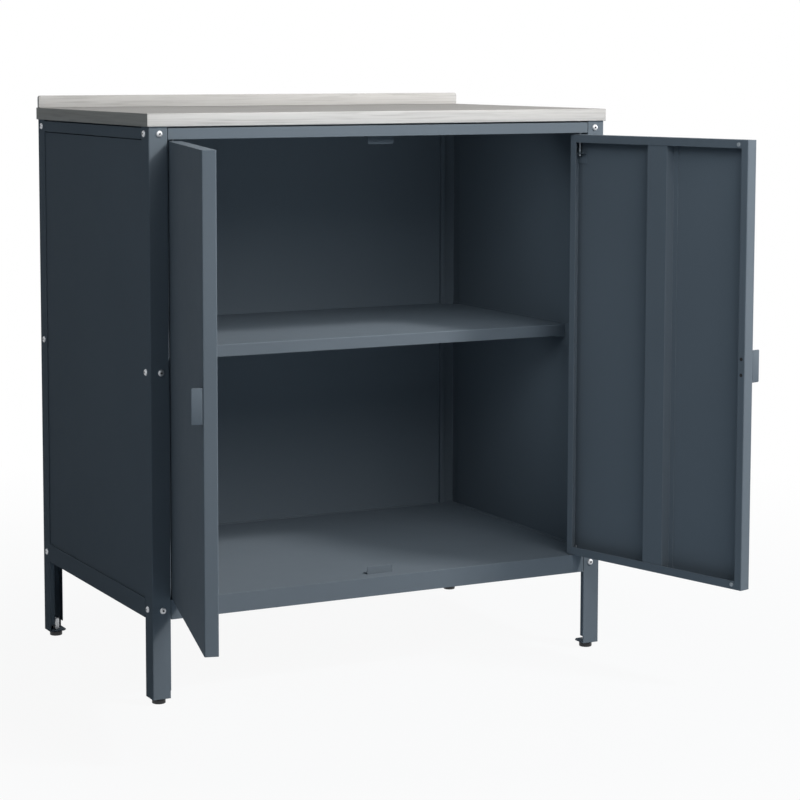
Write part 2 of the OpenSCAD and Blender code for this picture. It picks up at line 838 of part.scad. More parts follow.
// Angle plate on the skin that guides the upper pin
module hinge_bracket(side) {
    u0 = leaf_u0 + panel_t;
    skin = leaf_v0 + panel_t;
    z1 = leaf_top - bracket_drop + frame_t;
    color(STEEL) on_leaf(side) difference() {
        union() {
            box([u0, skin, z1 - frame_t], [bracket_u, bracket_v, z1]);
            box([u0, skin, z1 - bracket_leaf_h], [bracket_u, skin + frame_t, z1]);
        }
        translate([0, 0, z1 - frame_t - cut]) cylinder(r = pin_r + fit_clear, h = frame_t + 2 * cut);
    }
}

module hinge_washer(side) {
    color(PLASTIC) on_leaf(side) difference() {
        translate([0, 0, tray_top + fit_clear]) cylinder(r = washer_r, h = leaf_gap_bottom - fit_clear);
        translate([0, 0, tray_top]) cylinder(r = pin_r + fit_clear, h = leaf_gap_bottom + cut);
    }
}

// Levelling feet

module foot_pad(side, end) {
    color(PLASTIC) at_corner(side, end) translate([foot_inset, foot_inset, 0]) difference() {
        union() {
            cylinder(r1 = pad_r - pad_chamfer, r2 = pad_r, h = pad_chamfer);
            translate([0, 0, pad_chamfer]) cylinder(r = pad_r, h = pad_h - 2 * pad_chamfer);
            translate([0, 0, pad_h - pad_chamfer])
                cylinder(r1 = pad_r, r2 = pad_r - pad_chamfer, h = pad_chamfer);
        }
        translate([0, 0, stud_seat]) cylinder(r = stud_r + fit_clear, h = pad_h);
    }
}

module foot_stud(side, end) {
    color(ZINC) at_corner(side, end) translate([foot_inset, foot_inset, stud_seat])
        cylinder(r = stud_r, h = stud_top - stud_seat);
}

// Nodes

placed() worktop();
placed() upstand();
placed() post(LEFT, FRONT);  // post_front_left
placed() post(RIGHT, FRONT);  // post_front_right
placed() post(LEFT, REAR);  // post_rear_left
placed() post(RIGHT, REAR);  // post_rear_right
placed() foot_plate(LEFT, FRONT);  // foot_plate_front_left
placed() foot_plate(RIGHT, FRONT);  // foot_plate_front_right
placed() foot_plate(LEFT, REAR);  // foot_plate_rear_left
placed() foot_plate(RIGHT, REAR);  // foot_plate_rear_right
placed() top_plate(LEFT, FRONT);  // top_plate_front_left
placed() top_plate(RIGHT, FRONT);  // top_plate_front_right
placed() top_plate(LEFT, REAR);  // top_plate_rear_left
placed() top_plate(RIGHT, REAR);  // top_plate_rear_right
placed() foot_sleeves();
placed() top_rail_front();
placed() top_rail_rear();
placed() top_rail_side(LEFT);  // top_rail_left
placed() top_rail_side(RIGHT);  // top_rail_right
placed() side_panel(LEFT);  // side_panel_left
placed() side_panel(RIGHT);  // side_panel_right
placed() back_panel();
placed() bottom_tray();
placed() shelf();
placed() shelf_support(LEFT);  // shelf_support_left
placed() shelf_support(RIGHT);  // shelf_support_right
placed() door_stop_top();
placed() door_stop_bottom();
placed() frame_screws();
placed() frame_nuts();
placed() worktop_screws();
placed() upstand_screws();
placed() door(LEFT);  // door_left
placed() door_stiffener(LEFT);  // door_stiffener_left
placed() handle(LEFT);  // handle_left
placed() handle_screws(LEFT);  // handle_screws_left
placed() door_buffers(LEFT);  // door_buffers_left
placed() hinge_pin_top(LEFT);  // hinge_pin_top_left
placed() hinge_pin_bottom(LEFT);  // hinge_pin_bottom_left
placed() hinge_bracket(LEFT);  // hinge_bracket_left
placed() hinge_washer(LEFT);  // hinge_washer_left
placed() door(RIGHT);  // door_right
placed() door_stiffener(RIGHT);  // door_stiffener_right
placed() handle(RIGHT);  // handle_right
placed() handle_screws(RIGHT);  // handle_screws_right
placed() door_buffers(RIGHT);  // door_buffers_right
placed() hinge_pin_top(RIGHT);  // hinge_pin_top_right
placed() hinge_pin_bottom(RIGHT);  // hinge_pin_bottom_right
placed() hinge_bracket(RIGHT);  // hinge_bracket_right
placed() hinge_washer(RIGHT);  // hinge_washer_right
placed() foot_pad(LEFT, FRONT);  // foot_pad_front_left
placed() foot_pad(RIGHT, FRONT);  // foot_pad_front_right
placed() foot_pad(LEFT, REAR);  // foot_pad_rear_left
placed() foot_pad(RIGHT, REAR);  // foot_pad_rear_right
placed() foot_stud(LEFT, FRONT);  // foot_stud_front_left
placed() foot_stud(RIGHT, FRONT);  // foot_stud_front_right
placed() foot_stud(LEFT, REAR);  // foot_stud_rear_left
placed() foot_stud(RIGHT, REAR);  // foot_stud_rear_right
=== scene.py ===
"""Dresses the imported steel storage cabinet: finishes, modelled details, studio and camera."""

import json
import logging
import math
from abc import ABC, abstractmethod
from dataclasses import dataclass, field
from enum import Enum
from typing import Callable, Sequence

import bmesh
import bpy
from mathutils import Matrix, Vector

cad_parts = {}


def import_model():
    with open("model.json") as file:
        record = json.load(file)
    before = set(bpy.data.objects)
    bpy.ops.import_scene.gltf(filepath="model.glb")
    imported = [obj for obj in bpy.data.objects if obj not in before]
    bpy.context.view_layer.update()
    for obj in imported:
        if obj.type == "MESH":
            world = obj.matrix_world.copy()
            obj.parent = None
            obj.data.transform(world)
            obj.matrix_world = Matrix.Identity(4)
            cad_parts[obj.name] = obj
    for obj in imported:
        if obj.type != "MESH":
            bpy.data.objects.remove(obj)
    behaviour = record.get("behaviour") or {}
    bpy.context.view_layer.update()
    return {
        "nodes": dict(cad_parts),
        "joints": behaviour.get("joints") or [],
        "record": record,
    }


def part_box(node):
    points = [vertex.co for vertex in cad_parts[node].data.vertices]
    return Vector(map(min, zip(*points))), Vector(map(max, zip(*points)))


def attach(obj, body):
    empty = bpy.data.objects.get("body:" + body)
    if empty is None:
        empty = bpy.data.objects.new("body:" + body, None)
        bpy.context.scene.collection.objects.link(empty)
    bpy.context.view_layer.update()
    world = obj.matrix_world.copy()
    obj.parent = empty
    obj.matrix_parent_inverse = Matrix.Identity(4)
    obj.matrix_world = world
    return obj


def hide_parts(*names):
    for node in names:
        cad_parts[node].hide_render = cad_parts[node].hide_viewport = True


LOG = logging.getLogger("cabinet")

Colour = tuple[float, float, float]
Rgba = tuple[float, float, float, float]
Point = tuple[float, float, float]
Span = tuple[float, float]
Material = bpy.types.Material
Node = bpy.types.Node
Object = bpy.types.Object
Socket = bpy.types.NodeSocket
Test = Callable[[Vector, Vector], bool]

WHITE: Rgba = (1.0, 1.0, 1.0, 1.0)
# A direction runs along an axis when at least this share of it does
ALONG = 0.9
# Places closer to each other than this, in metres, are the same
NEAR = 1e-5
# Range that holds most values of a noise
NOISE_BAND: Span = (0.3, 0.7)
# Degrees up to which an edge is shaded smooth, on flat pieces and on turned ones
FLAT_ANGLE = 35.0
TURNED_ANGLE = 40.0


class Slot(Enum):
    """Material slots of the record."""

    STEEL = "steel"
    LAMINATE = "laminate"
    ZINC = "zinc"
    PLASTIC = "plastic"
    BUFFER = "buffer"


class Grain(Enum):
    """Direction in which the laminate's grain runs, as the scale of its pattern on each axis."""

    ALONG_X = (1.0, 34.0, 34.0)
    ALONG_Y = (34.0, 1.0, 34.0)


class Element(Enum):
    """What a selection in edit mode picks."""

    EDGE = "EDGE"
    FACE = "FACE"


class Named(Enum):
    """A choice whose name is part of the names of nodes and pieces."""

    @property
    def word(self) -> str:
        """Lower-case name of the choice."""
        return self.name.lower()


class Side(Named):
    """The two sides of the cabinet, seen from the front, as directions along X."""

    LEFT = -1
    RIGHT = 1


class End(Named):
    """The front and the rear of the cabinet, as directions along Y."""

    FRONT = -1
    REAR = 1


# ---- Materials


def srgb(value: str) -> Rgba:
    """Turns a written screen colour into linear light.

    Args:
        value: Six hexadecimal digits.

    Returns:
        Linear red, green, blue and an alpha of one.
    """
    parts = [int(value[i : i + 2], 16) / 255.0 for i in (0, 2, 4)]
    linear = [p / 12.92 if p <= 0.04045 else ((p + 0.055) / 1.055) ** 2.4 for p in parts]
    return (linear[0], linear[1], linear[2], 1.0)


class NodeSheet:
    """Shader graph of a material or the world, with short calls to add and join nodes."""

    def __init__(self, owner: Material | bpy.types.World, output: str) -> None:
        """Clears the graph and gives it an output.

        Args:
            owner: New material or world that holds the graph.
            output: Blender's class name of the output node.
        """
        self.owner = owner
        owner.use_nodes = True
        self.tree = owner.node_tree
        self.tree.nodes.clear()
        self.output = self.add(output)

    @classmethod
    def of_material(cls, name: str) -> "NodeSheet":
        """Starts an empty material of the given name."""
        return cls(bpy.data.materials.new(name), "ShaderNodeOutputMaterial")

    def feed(self, socket: Socket, value: object) -> None:
        """Joins a socket to another one, or gives it a value.

        Args:
            socket: The input socket.
            value: An output socket or a plain value.
        """
        if isinstance(value, Socket):
            self.tree.links.new(value, socket)
        else:
            socket.default_value = value

    def add(self, kind: str, **inputs: object) -> Node:
        """Adds a node.

        Args:
            kind: Blender's class name of the node.
            **inputs: Values or sockets for its inputs, named with _ for spaces.

        Returns:
            The new node.
        """
        node = self.tree.nodes.new(kind)
        for key, value in inputs.items():
            self.feed(node.inputs[key.replace("_", " ")], value)
        return node

    def operate(self, kind: str, operation: str, *values: Socket) -> Node:
        """Adds a maths node that works on sockets.

        Args:
            kind: Blender's class name of the node.
            operation: Name of its operation.
            *values: The sockets, in the order of its inputs.

        Returns:
            The new node.
        """
        node = self.tree.nodes.new(kind)
        node.operation = operation
        for index, value in enumerate(values):
            self.tree.links.new(value, node.inputs[index])
        return node

    def noise(self, vector: Socket, scale: float, detail: float) -> Socket:
        """Adds fractal noise.

        Args:
            vector: Where the noise is read.
            scale: How fine it is.
            detail: How many finer layers it has.

        Returns:
            Its value.
        """
        node = self.add("ShaderNodeTexNoise", Vector=vector, Scale=scale, Detail=detail)
        return node.outputs["Fac"]

    def stretch(self, scale: Sequence[float] = (1.0, 1.0, 1.0)) -> Socket:
        """Returns object coordinates scaled along each axis."""
        place = self.add("ShaderNodeTexCoord").outputs["Object"]
        return self.add("ShaderNodeMapping", Vector=place, Scale=tuple(scale)).outputs["Vector"]

    def remap(self, value: Socket, source: Span, result: Span = (0.0, 1.0)) -> Socket:
        """Maps a value from one range to another, held at the ends.

        Args:
            value: The socket to map.
            source: Both ends of the source range.
            result: What comes out at these ends.

        Returns:
            The mapped value.
        """
        (low, high), (to_low, to_high) = source, result
        ends = {"From_Min": low, "From_Max": high, "To_Min": to_low, "To_Max": to_high}
        return self.add("ShaderNodeMapRange", Value=value, **ends).outputs["Result"]

    def vary(self, noise: Socket, middle: float, spread: Span) -> Socket:
        """Spreads the middle band of a noise about a value.

        Args:
            noise: The noise.
            middle: The value.
            spread: How far the result may fall below it and rise above it.

        Returns:
            The varied value.
        """
        below, above = spread
        return self.remap(noise, NOISE_BAND, (middle - below, middle + above))

    def blend(self, fac: Socket, first: object, second: object) -> Socket:
        """Mixes two colours by a factor.

        Args:
            fac: Share of the second colour.
            first: Colour value or socket.
            second: Colour value or socket.

        Returns:
            The mixed colour.
        """
        node = self.tree.nodes.new("ShaderNodeMix")
        node.data_type = "RGBA"
        factor, first_colour, second_colour = 0, 6, 7
        for index, value in ((factor, fac), (first_colour, first), (second_colour, second)):
            self.feed(node.inputs[index], value)
        return node.outputs[2]

    def mix_shaders(self, fac: Socket, first: Node, second: Node) -> Node:
        """Mixes two shaders by a factor.

        Args:
            fac: Share of the second shader.
            first: Shader node.
            second: Shader node.

        Returns:
            The mixing node.
        """
        node = self.add("ShaderNodeMixShader", Fac=fac)
        for index, shader in ((1, first), (2, second)):
            self.tree.links.new(shader.outputs[0], node.inputs[index])
        return node

    def background_rays(self) -> Socket:
        """Finds the rays that see the white background rather than light the cabinet.

        Returns:
            A socket that is one for camera, glossy and transmission rays.
        """
        path = self.add("ShaderNodeLightPath")
        seen = path.outputs["Is Camera Ray"]
        for other in ("Is Glossy Ray", "Is Transmission Ray"):
            seen = self.operate("ShaderNodeMath", "MAXIMUM", seen, path.outputs[other]).outputs[0]
        return seen

    def surface(self, shader: Node) -> Material | bpy.types.World:
        """Joins the shader to the output and returns the material or world."""
        self.tree.links.new(shader.outputs[0], self.output.inputs["Surface"])
        return self.owner


@dataclass(frozen=True)
class PowderCoat:
    """Matt powder coat on sheet steel, with a fine orange peel and a painted highlight that
    lightens its folds.
    """

    name: str = "slate_powder_coat"
    base: str = "68727b"
    shade: str = "656f78"
    # Colour of the painted highlight on the folds
    edge: str = "8c959c"
    roughness: float = 0.6
    rough_spread: Span = (0.03, 0.04)
    specular: float = 0.008
    cloud_scale: float = 3.0
    cloud_band: Span = (0.35, 0.65)
    rough_scale: float = 40.0
    peel_scale: float = 900.0
    peel_strength: float = 0.09
    peel_depth: float = 0.0001
    fold_radius: float = 0.0009
    fold_samples: int = 4
    # Band and share of the painted highlight on the folds
    fold_band: Span = (0.995, 0.75)
    fold_share: float = 0.65

    def make(self) -> Material:
        """Builds the coat's material.

        Returns:
            The material.
        """
        sheet = NodeSheet.of_material(self.name)
        place = sheet.stretch()
        fold = sheet.add("ShaderNodeBevel", Radius=self.fold_radius)
        fold.samples = self.fold_samples
        rounded = fold.outputs["Normal"]
        flat = sheet.add("ShaderNodeNewGeometry").outputs["Normal"]
        # Painted highlight: the coat turns towards the highlight colour where the bevel's rounded
        # normal leaves the flat one
        likeness = sheet.operate("ShaderNodeVectorMath", "DOT_PRODUCT", rounded, flat)
        painted_fold_highlight = sheet.remap(likeness.outputs["Value"], self.fold_band, (0.0, self.fold_share))
        cloud = sheet.remap(sheet.noise(place, self.cloud_scale, detail=2.0), self.cloud_band)
        coat = sheet.blend(cloud, srgb(self.base), srgb(self.shade))
        peel = sheet.noise(place, self.peel_scale, detail=1.0)
        bump = sheet.add(
            "ShaderNodeBump",
            Strength=self.peel_strength,
            Distance=self.peel_depth,
            Height=peel,
            Normal=rounded,
        )
        rough = sheet.noise(place, self.rough_scale, detail=4.0)
        shader = sheet.add(
            "ShaderNodeBsdfPrincipled",
            Base_Color=sheet.blend(painted_fold_highlight, coat, srgb(self.edge)),
            Roughness=sheet.vary(rough, self.roughness, self.rough_spread),
            Specular_IOR_Level=self.specular,
            Normal=bump.outputs["Normal"],
        )
        return sheet.surface(shader)


@dataclass(frozen=True)
class OakLaminate:
    """Pale grey oak print under a matt melamine face, with embossed pores."""

    name: str
    grain: Grain
    light: str = "c8c8c7"
    middle: str = "bcbcbb"
    dark: str = "a5a5a4"
    roughness: float = 0.6
    rough_spread: Span = (0.05, 0.06)
    specular: float = 0.1
    waver_stretch: float = 0.25
    waver_scale: float = 5.0
    waver: float = 0.8
    board_scale: float = 1.6
    board_band: Span = (0.34, 0.66)
    streak_scale: float = 9.0
    streak_band: Span = (0.5, 0.75)
    streak_share: float = 0.8
    pore_length: float = 6.0
    pore_band: Span = (0.62, 0.72)
    pore_share: float = 0.45
    pore_walls: Span = (0.55, 0.75)
    pore_strength: float = 0.25
    pore_depth: float = 0.0002

    def make(self) -> Material:
        """Builds the laminate's material.

        Returns:
            The material.
        """
        sheet = NodeSheet.of_material(self.name)
        grain = self.grain.value
        wide = sheet.stretch([self.waver_stretch * g for g in grain])
        drift = sheet.noise(wide, self.waver_scale, detail=2.0)
        drift = sheet.remap(drift, (0.0, 1.0), (0.0, self.waver))
        drifted = sheet.operate("ShaderNodeVectorMath", "ADD", sheet.stretch(grain), drift)
        place = drifted.outputs["Vector"]
        boards = sheet.noise(place, self.board_scale, detail=5.0)
        streaks = sheet.noise(place, self.streak_scale, detail=6.0)
        close = sheet.stretch([g * g if g > 1.0 else self.pore_length for g in grain])
        pores = sheet.noise(close, 1.0, detail=2.0)
        board = sheet.remap(boards, self.board_band)
        colour = sheet.blend(board, srgb(self.light), srgb(self.middle))
        for noise, band, share in (
            (streaks, self.streak_band, self.streak_share),
            (pores, self.pore_band, self.pore_share),
        ):
            colour = sheet.blend(sheet.remap(noise, band, (0.0, share)), colour, srgb(self.dark))
        hollow = sheet.remap(pores, self.pore_walls, (1.0, 0.0))
        bump = sheet.add(
            "ShaderNodeBump", Strength=self.pore_strength, Distance=self.pore_depth, Height=hollow
        )
        shader = sheet.add(
            "ShaderNodeBsdfPrincipled",
            Base_Color=colour,
            Roughness=sheet.vary(streaks, self.roughness, self.rough_spread),
            Specular_IOR_Level=self.specular,
            Normal=bump.outputs["Normal"],
        )
        return sheet.surface(shader)


@dataclass(frozen=True)
class ZincPlate:
    """Zinc plating on fasteners and pins, a little clouded."""

    name: str = "zinc_plate"
    bright: str = "d2d4d7"
    dull: str = "b9bcc0"
    roughness: float = 0.45
    metallic: float = 0.6
    rough_spread: Span = (0.06, 0.1)
    cloud_scale: float = 220.0
    cloud_band: Span = (0.35, 0.65)
    rough_scale: float = 700.0

    def make(self) -> Material:
        """Builds the plating's material.

        Returns:
            The material.
        """
        sheet = NodeSheet.of_material(self.name)
        place = sheet.stretch()
        cloud = sheet.remap(sheet.noise(place, self.cloud_scale, detail=4.0), self.cloud_band)
        rough = sheet.noise(place, self.rough_scale, detail=3.0)
        shader = sheet.add(
            "ShaderNodeBsdfPrincipled",
            Base_Color=sheet.blend(cloud, srgb(self.bright), srgb(self.dull)),
            Roughness=sheet.vary(rough, self.roughness, self.rough_spread),
            Metallic=self.metallic,
        )
        return sheet.surface(shader)


@dataclass(frozen=True)
class Moulded:
    """Moulded plastic or rubber with a fine spark-eroded grain."""

    name: str
    colour: str
    worn: str
    roughness: float = 0.55
    rough_spread: Span = (0.05, 0.08)
    cloud_scale: float = 90.0
    cloud_band: Span = (0.4, 0.7)
    grain_scale: float = 1500.0
    grain_strength: float = 0.2
    grain_depth: float = 0.0001

    def make(self) -> Material:
        """Builds the moulding's material.

        Returns:
            The material.
        """
        sheet = NodeSheet.of_material(self.name)
        place = sheet.stretch()
        grain = sheet.noise(place, self.grain_scale, detail=2.0)
        cloud = sheet.remap(sheet.noise(place, self.cloud_scale, detail=3.0), self.cloud_band)
        bump = sheet.add(
            "ShaderNodeBump", Strength=self.grain_strength, Distance=self.grain_depth, Height=grain
        )
        shader = sheet.add(
            "ShaderNodeBsdfPrincipled",
            Base_Color=sheet.blend(cloud, srgb(self.colour), srgb(self.worn)),
            Roughness=sheet.vary(grain, self.roughness, self.rough_spread),
            Normal=bump.outputs["Normal"],
        )
        return sheet.surface(shader)


def made_once(finish: PowderCoat | OakLaminate | ZincPlate | Moulded) -> Material:
    """Returns a field that holds the finish's material, made with the set of finishes."""
    return field(default_factory=finish.make)


@dataclass
class Finishes:
    """All finishes of the cabinet, made once and shared by its pieces."""

    steel: Material = made_once(PowderCoat())
    face: Material = made_once(OakLaminate("oak_laminate_face", Grain.ALONG_X))
    # The top is a darker copy of the face's laminate, as painted shade
    top: Material = made_once(
        OakLaminate("oak_laminate_top", Grain.ALONG_X, "9e9e9d", "939392", "81817f")
    )
    # The end bands are a darker copy of the laminate, as painted shade on the faces that get less
    # light; their grain runs along Y
    end_band: Material = made_once(
        OakLaminate("oak_laminate_end_band", Grain.ALONG_Y, "aaa9a5", "a09f9a", "949390")
    )
    zinc: Material = made_once(ZincPlate())
    # Near-black painted shade, for the discs in the doors' access holes and the faces inside the
    # screw sockets
    plug: Material = made_once(Moulded("black_plug", "0e1013", "15181b", 0.8))
    pin: Material = made_once(ZincPlate("dull_pin_steel", "8b9299", "6f767d", 0.45, 0.9))
    # Near-black finish of the handle screws, which is painted shade in their access holes
    black_screw: Material = made_once(ZincPlate("blackened_screw", "26282b", "1d1f21", 0.5, 0.5))
    plastic: Material = made_once(Moulded("black_foot_plastic", "17181a", "202124"))
    buffer: Material = made_once(Moulded("grey_buffer_rubber", "a3a9ae", "989fa4", 0.6))

    def for_node(self, name: str, slot: str) -> Material:
        """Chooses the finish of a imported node.

        Args:
            name: Name of the node.
            slot: Its material slot in the record.

        Returns:
            The node's finish.
        """
        if name.startswith("hinge_pin"):
            return self.pin
        # Handle screws take the near-black painted shade
        if name.startswith("handle_screws"):
            return self.black_screw
        by_slot = {
            Slot.STEEL: self.steel,
            Slot.LAMINATE: self.face,
            Slot.ZINC: self.zinc,
            Slot.PLASTIC: self.plastic,
            Slot.BUFFER: self.buffer,
        }
        return by_slot[Slot(slot)]


# ---- Modelling by hand


def upright(way: Vector) -> bool:
    """Tells whether a direction runs along Z."""
    return abs(way.z) > ALONG


def top_cap(centre: Vector, normal: Vector) -> bool:
    """Chooses the face on the Z axis that looks up."""
    return normal.z > ALONG and centre.xy.length < NEAR


def base_cap(centre: Vector, normal: Vector) -> bool:
    """Chooses the face on the Z axis that looks down."""
    return normal.z < -ALONG and centre.xy.length < NEAR


class Piece:
    """One modelled piece, shaped with edit mode operators and then dressed."""

    def __init__(self, name: str, obj: Object) -> None:
        """Takes over an object and names it and its mesh.

        Args:
            name: Name of the piece.
            obj: The object.
        """
        self.obj = obj
        obj.name = name
        obj.data.name = name

    @classmethod
    def block(cls, name: str, low: Vector, high: Vector) -> "Piece":
        """Starts from a box between two corners.

        Args:
            name: Name of the piece.
            low: Lowest corner.
            high: Highest corner.

        Returns:
            The new piece.
        """
        bpy.ops.object.select_all(action="DESELECT")
        bpy.ops.mesh.primitive_cube_add(size=1.0, location=(low + high) / 2.0)
        obj = bpy.context.object
        obj.scale = high - low
        return cls(name, obj).settle()

    @classmethod
    def disc(cls, name: str, radius: float, height: float, sides: int) -> "Piece":
        """Starts from an upright cylinder that stands on the origin.

        Args:
            name: Name of the piece.
            radius: Radius of the cylinder.
            height: Height of the cylinder.
            sides: Number of sides.

        Returns:
            The new piece.
        """
        bpy.ops.object.select_all(action="DESELECT")
        bpy.ops.mesh.primitive_cylinder_add(
            vertices=sides, radius=radius, depth=height, location=(0.0, 0.0, height / 2.0)
        )
        return cls(name, bpy.context.object).settle()

    def settle(self) -> "Piece":
        """Moves a new primitive's place and size into its mesh.

        Returns:
            The piece itself.
        """
        self.select()
        bpy.ops.object.transform_apply(location=True, rotation=True, scale=True)
        return self

    def select(self) -> None:
        """Makes the piece the only selected object and the active one."""
        bpy.ops.object.select_all(action="DESELECT")
        self.obj.select_set(True)
        bpy.context.view_layer.objects.active = self.obj

    def pick(self, kind: Element, test: Test) -> int:
        """Enters edit mode and selects faces or edges.

        Args:
            kind: What is selected.
            test: Takes a centre, and a face's normal or an edge's direction.

        Returns:
            How many elements are selected.
        """
        bpy.context.view_layer.objects.active = self.obj
        bpy.ops.object.mode_set(mode="EDIT")
        bpy.ops.mesh.select_mode(type=kind.value)
        bpy.ops.mesh.select_all(action="DESELECT")
        mesh = bmesh.from_edit_mesh(self.obj.data)
        if kind is Element.FACE:
            found = [face for face in mesh.faces if test(face.calc_center_median(), face.normal)]
        else:
            ends = [(edge, *(vert.co for vert in edge.verts)) for edge in mesh.edges]
            found = [edge for edge, a, b in ends if test((a + b) / 2.0, (b - a).normalized())]
        for element in found:
            element.select_set(True)
        bmesh.update_edit_mesh(self.obj.data)
        return len(found)

    def leave(self) -> None:
        """Returns to object mode."""
        bpy.ops.object.mode_set(mode="OBJECT")

    def cut(self, place: Vector, normal: Vector) -> None:
        """Cuts new edges all round where a plane meets the piece.

        Args:
            place: A point of the plane.
            normal: Its normal.
        """
        bpy.ops.object.mode_set(mode="EDIT")
        bpy.ops.mesh.select_all(action="SELECT")
        bpy.ops.mesh.bisect(plane_co=place, plane_no=normal)
        self.leave()

    def bevel(self, width: float, segments: int, test: Test) -> None:
        """Rounds the chosen edges.

        Args:
            width: Width of the bevel.
            segments: Number of its segments.
            test: Chooses edges by centre and direction.
        """
        if self.pick(Element.EDGE, test):
            bpy.ops.mesh.bevel(offset=width, segments=segments, affect="EDGES", clamp_overlap=True)
        self.leave()

    def pull(self, offset: Vector, test: Test) -> None:
        """Extrudes the chosen faces and moves them.

        Args:
            offset: The move.
            test: Chooses faces by centre and normal.
        """
        self.pick(Element.FACE, test)
        bpy.ops.mesh.extrude_region_move(TRANSFORM_OT_translate={"value": tuple(offset)})
        self.leave()

    def turn_step(self, cap: Test, rise: float, factor: float, level: float) -> None:
        """Extrudes a cap along Z and scales it, as one step of a turned shape.

        Args:
            cap: Chooses the cap.
            rise: How far the cap moves up.
            factor: Its scale afterwards.
            level: Height of the scaling's centre on the Z axis.
        """
        self.pick(Element.FACE, cap)
        bpy.ops.mesh.extrude_region_move(TRANSFORM_OT_translate={"value": (0.0, 0.0, rise)})
        bpy.ops.transform.resize(value=(factor, factor, factor), center_override=(0.0, 0.0, level))
        self.leave()

    def reshape(self, change: Callable[[bmesh.types.BMesh], None]) -> None:
        """Moves vertices of the mesh in code.

        Args:
            change: Takes the mesh and moves its vertices.
        """
        mesh = bmesh.new()
        mesh.from_mesh(self.obj.data)
        change(mesh)
        mesh.to_mesh(self.obj.data)
        mesh.free()

    def soften(self, width: float) -> None:
        """Rounds every sharp edge a little with a bevel modifier, then applies it.

        Args:
            width: Width of the bevel.
        """
        modifier = self.obj.modifiers.new("soften", "BEVEL")
        modifier.width = width
        modifier.segments = 2
        modifier.limit_method = "ANGLE"
        modifier.angle_limit = math.radians(FLAT_ANGLE)
        self.select()
        bpy.ops.object.modifier_apply(modifier=modifier.name)

    def smooth(self, degrees: float = FLAT_ANGLE) -> None:
        """Shades smooth over edges flatter than an angle."""
        self.select()
        bpy.ops.object.shade_smooth_by_angle(angle=math.radians(degrees))

    def move(self, matrix: Matrix) -> None:
        """Moves the mesh, and keeps its faces pointing outwards.

        Args:
            matrix: Where the mesh goes.
        """
        self.obj.data.transform(matrix)
        if matrix.determinant() < 0.0:
            self.obj.data.flip_normals()
        self.obj.data.update()

    def copy(self, name: str, matrix: Matrix) -> "Piece":
        """Copies the piece with a mesh of its own.

        Args:
            name: Name of the copy.
            matrix: Where the copy goes.

        Returns:
            The copy.
        """
        obj = self.obj.copy()
        obj.data = self.obj.data.copy()
        bpy.context.scene.collection.objects.link(obj)
        twin = Piece(name, obj)
        twin.move(matrix)
        return twin

    def paint(self, index: int, test: Test) -> None:
        """Gives the chosen faces another of the piece's finishes.

        Args:
            index: Which of the finishes.
            test: Chooses faces by centre and normal.
        """
        self.pick(Element.FACE, test)
        mesh = bmesh.from_edit_mesh(self.obj.data)
        for face in mesh.faces:
            if face.select:
                face.material_index = index
        bmesh.update_edit_mesh(self.obj.data)
        self.leave()

    def dress(self, body: str, slot: Slot, replaces: str, *materials: Material) -> Object:
        """Gives the piece its finishes, its body and the node that it stands for.

        Args:
            body: CAD body that it rides on.
            slot: Material slot of the record; not used.
            replaces: Node of the same shape, which is hidden, or an empty word.
            *materials: Its finishes, the main one first.

        Returns:
            The finished object.
        """
        index = [face.material_index for face in self.obj.data.polygons]
        self.obj.data.materials.clear()
        for material in materials:
            self.obj.data.materials.append(material)
        self.obj.data.polygons.foreach_set("material_index", index)
        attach(self.obj, body)
        if replaces:
            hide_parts(replaces)
        return self.obj

    def discard(self) -> None:
        """Deletes a pattern that only its copies keep."""
        bpy.data.objects.remove(self.obj)


@dataclass
class Assembly(ABC):
    """Part of the cabinet that is modelled anew, with the finishes that dress it."""

    finishes: Finishes

    @abstractmethod
    def build(self) -> list[Object]:
        """Models the pieces and returns their finished objects."""


# ---- Worktop and upstand


